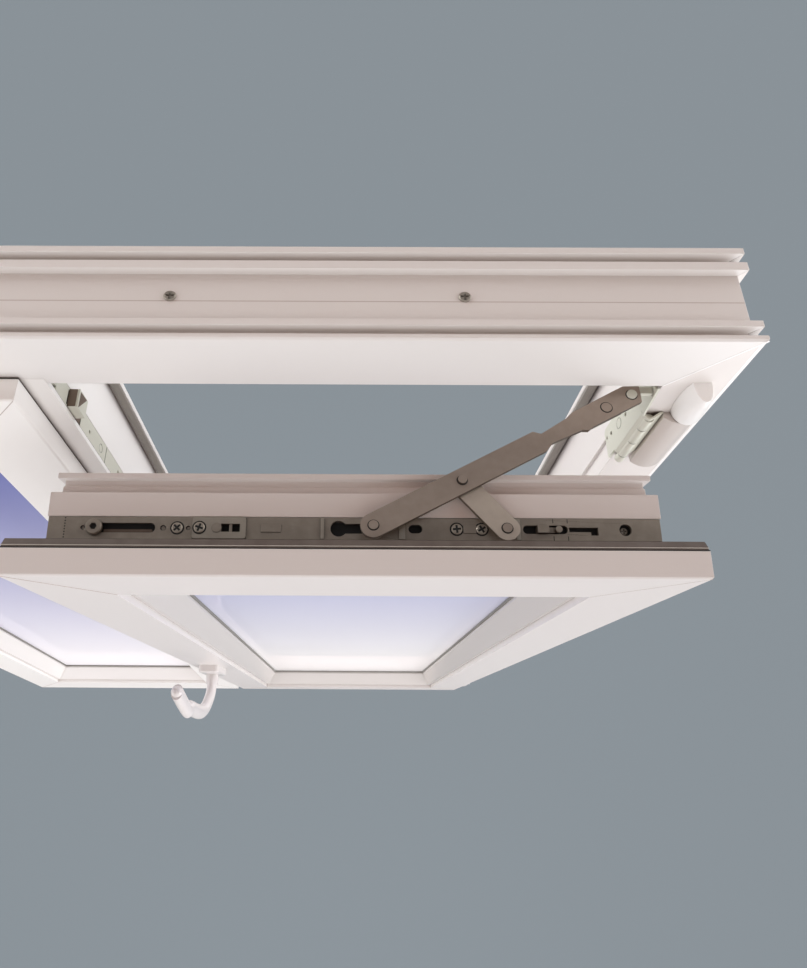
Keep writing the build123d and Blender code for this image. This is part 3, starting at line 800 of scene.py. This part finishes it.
@dataclass
class EdgeGear:
    """Faceplates, cams, stay and hinge steel, with the small things that they hold.

    Sizes and places are in millimetres: x along the edge in the row frame, across from the
    plates' middle towards the outside, and lift from the plates' top.
    """

    place: Matrix
    plates: tuple[str, ...] = ("left_faceplate", "stay_faceplate", "right_faceplate",
                               "locking_cams")
    stay: tuple[tuple[str, Finish, float], ...] = (
        ("stay_arm", Finish.STAY, 0.3), ("stay_rivets", Finish.STAY, 0),
        ("stay_link", Finish.LINK, 0))
    bright: tuple[str, ...] = ("mullion_keeps", "stay_band", "top_hinge_leaf",
                               "top_hinge_knuckles")
    plate_bevel: float = 0.25

    # Rod in the groove, in painted shade: how much shorter than the plates, width, depth and lift
    rod_short: float = 4.0
    rod_width: float = 11.2
    rod_depth: float = 7.6
    rod_lift: float = -4.0
    rod_round: float = 0.4

    # Faceplate screws, each with x and lift, and the one in the right plate's hole
    screws: tuple[tuple[float, float], ...] = ((99.8, 0), (115.4, 1.1), (294.0, 0), (311.3, 0))
    screw_radius: float = 3.8
    screw_height: float = 0.9
    first_turn: float = 45.0
    turn_step: float = 25.0
    # The ring of painted shade round each screw for its countersink
    sink_width: float = 1.1
    sink_depth: float = 0.3
    inlay_lift: float = 0.86
    hole_x: float = 411.0
    hole_lift: float = -4.0
    hole_radius: float = 2.6
    hole_height: float = 1.0

    # Latch face with its window, and the bars across the plates with x, width and height
    latch_x: float = 129.1
    latch_lift: float = 0.8
    latch_long: float = 37.4
    latch_short: float = 0.6
    latch_round: float = 1.6
    latch_depth: float = 0.5
    latch_proud: float = 0.3
    window_off: float = 7.9
    window_long: float = 13.2
    window_wide: float = 5.9
    bars: tuple[tuple[str, float, float, float], ...] = (
        ("guide_bar", 256, 4.4, 1.15), ("end_tab", 336.6, 2.8, 1.4),
        ("cover_rib", 200.7, 2.2, 1.3))
    bar_short: float = 0.8
    bar_depth: float = 0.4
    corner: float = 0.3

    # Row of dents and thin joints stamped in the plates, drawn in painted shade
    dents: int = 8
    dent_x: float = 21.3
    dent_row: float = 14.0
    dent_radius: float = 0.5
    dent_steps: int = 10
    joint_x: tuple[float, ...] = (361.0, 371.0)
    joint_across: float = 6.3
    joint_wide: float = 0.5
    joint_long: float = 3.2
    joint_round: float = 0.1

    # Cam's socket in painted shade, stubs in the small holes with x and radius, and the slide in
    # its slot in brown painted shade
    socket_x: float = 42.5
    socket_radius: float = 2.2
    socket_lift: float = 2.1
    socket_depth: float = 0.6
    socket_sides: int = 6
    stubs: tuple[tuple[float, float], ...] = ((34.0, 1.1), (90.0, 1.5), (107.5, 1.1))
    stub_depth: float = 3.2
    stub_lift: float = -0.7
    stub_steps: int = 20
    slide_x: float = 65.0
    slide_across: float = -2.0
    slide_lift: float = -1.8
    slide_size: tuple[float, float, float] = (34.0, 2.6, 2.4)

    # Keep's boxes in brown painted shade: left and right end from the keep's left side, or from its
    # right side where negative, lower and upper end below the opening's top, and width; then the
    # corners of the painted shadow wedge
    keep_boxes: tuple[tuple[str, float, float, float, float, float], ...] = (
        ("keep_block", 1.2, -2.2, 51.2, 37.5, 13.0),
        ("keep_block_top", 0.4, -1.8, 37.5, 35.6, 15.8),
        ("keep_recess", 0.8, 2.4, 63.6, 53.2, 14.4))
    wedge: tuple[tuple[float, float], ...] = ((38.2, 6.6), (50.5, 7.4), (38.2, -7.4))
    wedge_depth: float = 0.2
    wedge_proud: float = 0.25

    # Stay's rivets: the foot, the pin, the shares of the way between them, and the rings of painted
    # shade
    foot_x: float = 235.8
    foot_back: float = 1.6
    pin_in: float = 20.5
    pin_ahead: float = 3.0
    rivet_share: float = 0.325
    ring_share: float = 0.895
    link_foot_x: float = 327.5
    link_foot_back: float = 2.0
    ring_radii: tuple[float, ...] = (3.4, 3.2, 3.9, 3.7, 3.4)
    ring_width: float = 0.7
    ring_proud: float = 0.06

    def build(self) -> None:
        """Dresses the steel and adds what the edge gear holds."""
        for node in self.plates:
            dress(node, Finish.GEAR, self.plate_bevel)
        for node, finish, bevel in self.stay:
            dress(node, finish, bevel)
        for node in self.bright:
            dress(node, Finish.KEEP, self.plate_bevel)
        self.add_case()
        self.add_screws()
        self.add_latch()
        self.add_marks()
        self.add_rivet_rings()
        self.add_cam_details()
        self.add_keep_block()

    def on_plate(self, x: float, across: float = 0.0, lift: float = 0.0) -> Matrix:
        """Finds a place on the faceplates, which tilt with the sash.

        Args:
            x: along the edge in millimetres, in the row frame.
            across: from the plates' middle towards the outside, in millimetres.
            lift: above the plates' top, in millimetres.

        Returns:
            The matrix that moves a piece from the origin to that place.
        """
        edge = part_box("left_sash_top_rail")[1][2] - BODY_IN
        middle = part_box("frame_head")[0][1] + PLATE_MID
        return self.place @ Matrix.Translation((x * MM, middle + across * MM, edge + lift * MM))

    @staticmethod
    def add_steel(name: str, mesh: bmesh.types.BMesh, finish: Finish, place: Matrix) -> None:
        """Adds one small piece of the gear."""
        add_mesh(name, mesh, finish, place)

    def add_case(self) -> None:
        """Lays the gear rod in the groove below the plates, seen through their slots, in near black
        painted shade for the groove's depth.
        """
        x0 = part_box("left_faceplate")[0][0] / MM
        x1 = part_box("right_faceplate")[1][0] / MM
        outline = rounded((x1 - x0 - self.rod_short) * MM, self.rod_width * MM,
                          self.rod_round * MM, 2)
        self.add_steel("gear_rod_painted_shade", sheet(outline, [], -self.rod_depth * MM, 0.0), Finish.SHADE,
                       self.on_plate((x0 + x1) / 2, 0, self.rod_lift))

    def add_screws(self) -> None:
        """Sets the faceplates' cross-head screws, each in a ring of painted shade for its
        countersink and with painted shade in its cross recess.
        """
        for number, (x, lift) in enumerate(self.screws):
            angle = math.radians(self.first_turn + self.turn_step * number)
            turn = Matrix.Rotation(angle, 4, "Z")
            sink = sheet(disc_points((self.screw_radius + self.sink_width) * MM), [],
                         -self.sink_depth * MM, MARK)
            self.add_steel(f"plate_sink_{number}", sink, Finish.SHADE, self.on_plate(x, 0, lift))
            screw = cross_screw(self.screw_radius * MM, self.screw_height * MM)
            self.add_steel(f"plate_screw_{number}", screw, Finish.PLATE_SCREW,
                           self.on_plate(x, 0, lift) @ turn)
            self.add_steel(f"plate_cross_{number}", cross_recess_shade(self.screw_radius * MM),
                           Finish.SHADE, self.on_plate(x, 0, lift + self.inlay_lift) @ turn)
        screw = cross_screw(self.hole_radius * MM, self.hole_height * MM)
        self.add_steel("right_hole_screw", screw, Finish.PLATE_SCREW,
                       self.on_plate(self.hole_x, 0, self.hole_lift))

    def add_latch(self) -> None:
        """Fits the latch's pale face with its window, and the pale bars across the plates."""
        opening = rounded(self.window_long * MM, self.window_wide * MM, self.corner * MM, 2)
        window = [(x + self.window_off * MM, y) for x, y in opening]
        outline = rounded(self.latch_long * MM, PLATE_W - self.latch_short * MM,
                          self.latch_round * MM)
        face = sheet(outline, [window], -self.latch_depth * MM, self.latch_proud * MM)
        self.add_steel("latch_face", face, Finish.PLATE_SCREW,
                       self.on_plate(self.latch_x, 0, self.latch_lift))
        for name, x, width, height in self.bars:
            outline = rounded(width * MM, PLATE_W - self.bar_short * MM, self.corner * MM, 2)
            bar = sheet(outline, [], -self.bar_depth * MM, height * MM)
            self.add_steel(name, bar, Finish.PLATE_SCREW, self.on_plate(x))

    def add_marks(self) -> None:
        """Stamps the row of dents and the thin joints of the plates, drawn in near black painted
        shade.
        """
        for number in range(self.dents):
            across = -self.dent_row / 2 + self.dent_row * number / (self.dents - 1)
            dent = sheet(disc_points(self.dent_radius * MM, self.dent_steps), [], MARK_ROOT, MARK)
            self.add_steel(f"plate_dent_{number}", dent, Finish.SHADE,
                           self.on_plate(self.dent_x, across))
        for x in self.joint_x:
            for name, across in (("room", -self.joint_across), ("out", self.joint_across)):
                outline = rounded(self.joint_wide * MM, self.joint_long * MM,
                                  self.joint_round * MM, 1)
                self.add_steel(f"plate_joint_{x:.0f}_{name}", sheet(outline, [], MARK_ROOT, MARK),
                               Finish.SHADE, self.on_plate(x, across))

    def add_cam_details(self) -> None:
        """Paints shade into the cam's hexagon socket, fills the small holes, and fills the cam's
        slot with a slide in brown painted shade.
        """
        socket = sheet(disc_points(self.socket_radius * MM, self.socket_sides), [],
                       -self.socket_depth * MM, MARK)
        self.add_steel("cam_socket_shade", socket, Finish.SHADE,
                       self.on_plate(self.socket_x, 0, self.socket_lift))
        for number, (x, radius) in enumerate(self.stubs):
            stub = sheet(disc_points(radius * MM, self.stub_steps), [], -self.stub_depth * MM,
                         0.0)
            self.add_steel(f"plate_stub_{number}", stub, Finish.GEAR,
                           self.on_plate(x, 0, self.stub_lift))
        length, width, depth = (size * MM for size in self.slide_size)
        slide = sheet(rounded(length, width, self.corner * MM, 2), [], -depth, 0.0)
        self.add_steel("cam_slide_shade", slide, Finish.BROWN,
                       self.on_plate(self.slide_x, self.slide_across, self.slide_lift))

    def add_keep_block(self) -> None:
        """Fits the keep's block with its cap, its wedge of painted shadow and the recess below it,
        all in brown painted shade.
        """
        low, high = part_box("mullion_keeps")
        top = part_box("frame_head")[1][2] - FRAME_FACE
        middle = (low[1] + high[1]) / 2
        for name, left, right, lower, upper, width in self.keep_boxes:
            x0 = low[0] + left * MM
            x1 = (low[0] if right > 0 else high[0]) + right * MM
            outline = rounded(x1 - x0, width * MM, self.corner * MM, 2)
            add_mesh(name, sheet(outline, [], 0.0, (lower - upper) * MM), Finish.BROWN,
                     Matrix.Translation(((x0 + x1) / 2, middle, top - lower * MM)))
        side = Matrix.Translation((high[0], 0, 0)) @ Matrix.Rotation(math.radians(90), 4, "Y")
        corners = [(-(top - below * MM), middle + across * MM) for below, across in self.wedge]
        wedge = sheet(corners, [], -self.wedge_depth * MM, self.wedge_proud * MM)
        add_mesh("keep_shadow_wedge", wedge, Finish.BROWN, side)

    def add_rivet_rings(self) -> None:
        """Draws a ring of painted shade in the gap round the stay's rivets, on the arm and the
        link.
        """
        plate_y = self.on_plate(0).translation.y
        top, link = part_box("stay_arm")[1][2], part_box("stay_link")[1][2]
        foot = Vector((self.foot_x * MM, plate_y - self.foot_back * MM, top))
        pin = Vector((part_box("frame_right_jamb")[1][0] - FRAME_FACE - self.pin_in * MM,
                      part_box("frame_head")[0][1] - self.pin_ahead * MM, top))
        link_foot = Vector((self.link_foot_x * MM, plate_y - self.link_foot_back * MM, link))
        places = (("foot", foot), ("link", foot.lerp(pin, self.rivet_share)),
                  ("ring", foot.lerp(pin, self.ring_share)), ("pin", pin),
                  ("link_foot", link_foot))
        for (name, place), radius in zip(places, self.ring_radii):
            ring = sheet(disc_points((radius + self.ring_width) * MM), [disc_points(radius * MM)],
                         MARK_ROOT, self.ring_proud * MM)
            add_mesh(f"rivet_ring_{name}", ring, Finish.SHADE,
                     Matrix.Translation(place))


@dataclass
class WhiteFittings:
    """Handle and hinge covers in white powder coat."""

    nodes: tuple[tuple[str, Finish], ...] = (
        ("handle_rosette", Finish.WHITE), ("handle_lever", Finish.WHITE),
        ("top_hinge_cap", Finish.CAP_WHITE), ("top_hinge_cover", Finish.COVER),
        ("bottom_hinge_cap", Finish.WHITE), ("bottom_hinge_cover", Finish.WHITE))

    def build(self) -> None:
        """Dresses the fittings."""
        for node, finish in self.nodes:
            dress(node, finish, 0)


@dataclass(frozen=True)
class Sun:
    """One large far softbox, as a sun with a wide angle.

    It has the way to it, its strength in watts per square metre, its width and its colour.
    """

    name: str
    source: Point
    strength: float
    spread_deg: float
    color: str = "ffffff"


@dataclass(frozen=True)
class Softbox:
    """One square softbox near the window, with its place, aim and side in metres, and watts."""

    name: str
    place: Point
    aim: Point
    size: float
    power: float
    color: str = "f8faff"


@dataclass
class Studio:
    """Pale floor, plain world and soft lamps."""

    backdrop: str = "8e989f"
    floor_size: float = 14.0
    floor_drop: float = 0.9
    floor_pale: str = "e6e2de"
    floor_share: float = 0.25
    floor_roughness: float = 0.9
    sky_low: str = "fcfdff"
    sky_high: str = "7c5034"
    sky_span: tuple[float, float] = (0.05, 0.68)
    sky_strength: float = 0.95
    suns: tuple[Sun, ...] = (
        Sun("room_key", (0.1, -1.0, 0.6), 0.58, 50, "fffdfa"),
        Sun("left_back", (-1.0, 0.7, 0.25), 2.2, 40),
        Sun("left_front", (-1.0, -0.3, 0.2), 0.75, 40),
        Sun("right_back", (1.0, 0.6, 0.25), 1.3, 40),
        Sun("right_front", (1.0, -0.45, 0.15), 1.35, 40, "fbfcff"))
    boxes: tuple[Softbox, ...] = (
        Softbox("low_fill", (0.5, -1.5, 0.05), (0.15, 0.0, 0.15), 1.2, 3.8),
        Softbox("right_soft", (1.3, -1.0, 0.35), (0.5, -0.15, 0.9), 0.6, 4.0),
        Softbox("left_soft", (-1.1, -0.9, 0.9), (-0.4, -0.1, 1.0), 0.6, 3.4))

    def build(self) -> None:
        """Builds floor, world and lamps."""
        self.add_floor()
        self.add_world()
        self.add_lamps()

    def add_floor(self) -> None:
        """Lays the floor, the backdrop's colour to the camera and to reflections."""
        mesh = bmesh.new()
        half = self.floor_size / 2
        z = CAD_BOX[0][2] - self.floor_drop
        mesh.faces.new([mesh.verts.new((x, y, z)) for x, y in
                        ((-half, -half), (half, -half), (half, half), (-half, half))])
        data = bpy.data.meshes.new("floor")
        mesh.to_mesh(data)
        mesh.free()
        material, shader, tree = new_material("painted_floor")
        seen = self.seen_rays(tree)
        tone = add_node(tree, "ShaderNodeMix",
                        {"data_type": "RGBA", "A": srgb(self.floor_pale), "B": srgb(self.backdrop)},
                        {"Factor": seen})
        tree.links.new(tone.outputs["Result"], shader.inputs["Base Color"])
        shader.inputs["Roughness"].default_value = self.floor_roughness
        shader.inputs["Specular IOR Level"].default_value = 0.0
        glow = add_node(tree, "ShaderNodeEmission", {"Color": srgb(self.backdrop), "Strength": 1.0})
        share = add_node(tree, "ShaderNodeMath",
                         {"operation": "MULTIPLY", 1: 1 - self.floor_share}, {0: seen})
        mix = add_node(tree, "ShaderNodeMixShader", links={
            0: share.outputs[0], 1: shader.outputs[0], 2: glow.outputs[0]})
        output = next(node for node in tree.nodes if node.type == "OUTPUT_MATERIAL")
        tree.links.new(mix.outputs[0], output.inputs["Surface"])
        data.materials.append(material)
        floor = bpy.data.objects.new("floor", data)
        bpy.context.scene.collection.objects.link(floor)

    @staticmethod
    def seen_rays(tree: bpy.types.NodeTree) -> bpy.types.NodeSocket:
        """Returns a socket that is 1 for camera, glossy and transmission rays, 0 for light."""
        path = add_node(tree, "ShaderNodeLightPath")
        either = add_node(tree, "ShaderNodeMath", {"operation": "MAXIMUM"},
                          {0: path.outputs["Is Camera Ray"], 1: path.outputs["Is Glossy Ray"]})
        every = add_node(tree, "ShaderNodeMath", {"operation": "MAXIMUM"},
                         {0: either.outputs[0], 1: path.outputs["Is Transmission Ray"]})
        return every.outputs[0]

    def add_world(self) -> None:
        """Sets a plain world: soft light, and the backdrop's colour to the camera."""
        world = bpy.data.worlds.new("studio")
        bpy.context.scene.world = world
        world.use_nodes = True
        tree = world.node_tree
        tree.nodes.clear()
        seen = add_node(tree, "ShaderNodeBackground",
                        {"Color": srgb(self.backdrop), "Strength": 1.0})
        way = add_node(tree, "ShaderNodeSeparateXYZ",
                       links={"Vector": add_node(tree, "ShaderNodeTexCoord").outputs["Generated"]})
        height = add_node(tree, "ShaderNodeMapRange",
                          {"From Min": self.sky_span[0], "From Max": self.sky_span[1]},
                          {"Value": way.outputs["Z"]})
        sky = add_node(tree, "ShaderNodeMix",
                       {"data_type": "RGBA", "A": srgb(self.sky_low), "B": srgb(self.sky_high)},
                       {"Factor": height.outputs["Result"]})
        light = add_node(tree, "ShaderNodeBackground", {"Strength": self.sky_strength},
                         {"Color": sky.outputs["Result"]})
        mix = add_node(tree, "ShaderNodeMixShader", links={
            0: self.seen_rays(tree), 1: light.outputs[0], 2: seen.outputs[0]})
        add_node(tree, "ShaderNodeOutputWorld", links={"Surface": mix.outputs[0]})

    def add_lamps(self) -> None:
        """Hangs the far and the near softboxes."""
        for sun in self.suns:
            data = bpy.data.lights.new(sun.name, "SUN")
            data.energy = sun.strength
            data.angle = math.radians(sun.spread_deg)
            self.hang(data, sun.color, Vector(), -Vector(sun.source))
        for box in self.boxes:
            data = bpy.data.lights.new(box.name, "AREA")
            data.size = box.size
            data.energy = box.power
            self.hang(data, box.color, Vector(box.place), Vector(box.aim) - Vector(box.place))

    @staticmethod
    def hang(data: bpy.types.Light, color: str, place: Vector, facing: Vector) -> None:
        """Puts one lamp into the scene.

        Args:
            data: the light, with its strength and size set.
            color: its colour as sRGB hex.
            place: where it stands, in metres.
            facing: the way that it shines.
        """
        data.color = srgb(color)[:3]
        lamp = bpy.data.objects.new(data.name, data)
        lamp.location = place
        lamp.rotation_euler = facing.to_track_quat("-Z", "Y").to_euler()
        bpy.context.scene.collection.objects.link(lamp)


@dataclass
class PhotoCamera:
    """The photograph's viewpoint: high on the room side, a crop off the lens axis."""

    place: Point = (0.2182, -0.3396, 1.5157)
    yaw: float = -0.583
    pitch: float = 67.311
    roll: float = -0.235
    focal_px: float = 665.79
    axis_px: tuple[float, float] = (344.81, 547.01)
    sensor: float = 36.0
    near: float = 0.01

    def build(self) -> None:
        """Makes the camera and hands it to the scene."""
        yaw, pitch, roll = (math.radians(v) for v in (self.yaw, self.pitch, self.roll))
        ahead = Vector((math.sin(yaw) * math.cos(pitch), math.cos(yaw) * math.cos(pitch),
                        -math.sin(pitch)))
        level = Vector((math.cos(yaw), -math.sin(yaw), 0))
        upright = level.cross(ahead)
        right = level * math.cos(roll) + upright * math.sin(roll)
        up = upright * math.cos(roll) - level * math.sin(roll)
        data = bpy.data.cameras.new("photo")
        data.sensor_fit = "HORIZONTAL"
        data.sensor_width = self.sensor
        data.lens = self.focal_px * self.sensor / PHOTO_WIDTH
        data.shift_x = (PHOTO_WIDTH / 2 - self.axis_px[0]) / PHOTO_WIDTH
        data.shift_y = (self.axis_px[1] - PHOTO_HEIGHT / 2) / PHOTO_WIDTH
        data.clip_start = self.near
        camera = bpy.data.objects.new("photo", data)
        turn = Matrix((right, up, -ahead)).transposed().to_4x4()
        camera.matrix_world = Matrix.Translation(self.place) @ turn
        bpy.context.scene.collection.objects.link(camera)
        bpy.context.scene.camera = camera


def main() -> None:
    """Builds the window's looks, its studio and the camera."""
    logging.basicConfig(level=logging.INFO, format="%(name)s: %(message)s")
    # The pale rib paints a highlight along the seal lip's edge, the dark rib a line of painted
    # shade
    highlight_rib = SealRib("pale", 0.2 * MM, 0.7 * MM, 0.28 * MM, Finish.HIGHLIGHT_RIB)
    shade_rib = SealRib("dark", -1.55 * MM, 0.45 * MM, 0.4 * MM, Finish.SHADE)
    OuterFrame().build()
    Sash("left", Matrix.Identity(4), Finish.INNER, Finish.FRAME, (shade_rib,)).build()
    Sash("right", tilt_matrix(), Finish.TILTED, Finish.BEAD, (highlight_rib, shade_rib)).build()
    EdgeGear(tilt_matrix()).build()
    WhiteFittings().build()
    Studio().build()
    PhotoCamera().build()
    bpy.context.scene.view_settings.view_transform = "Standard"


if __name__ == "__main__":
    main()
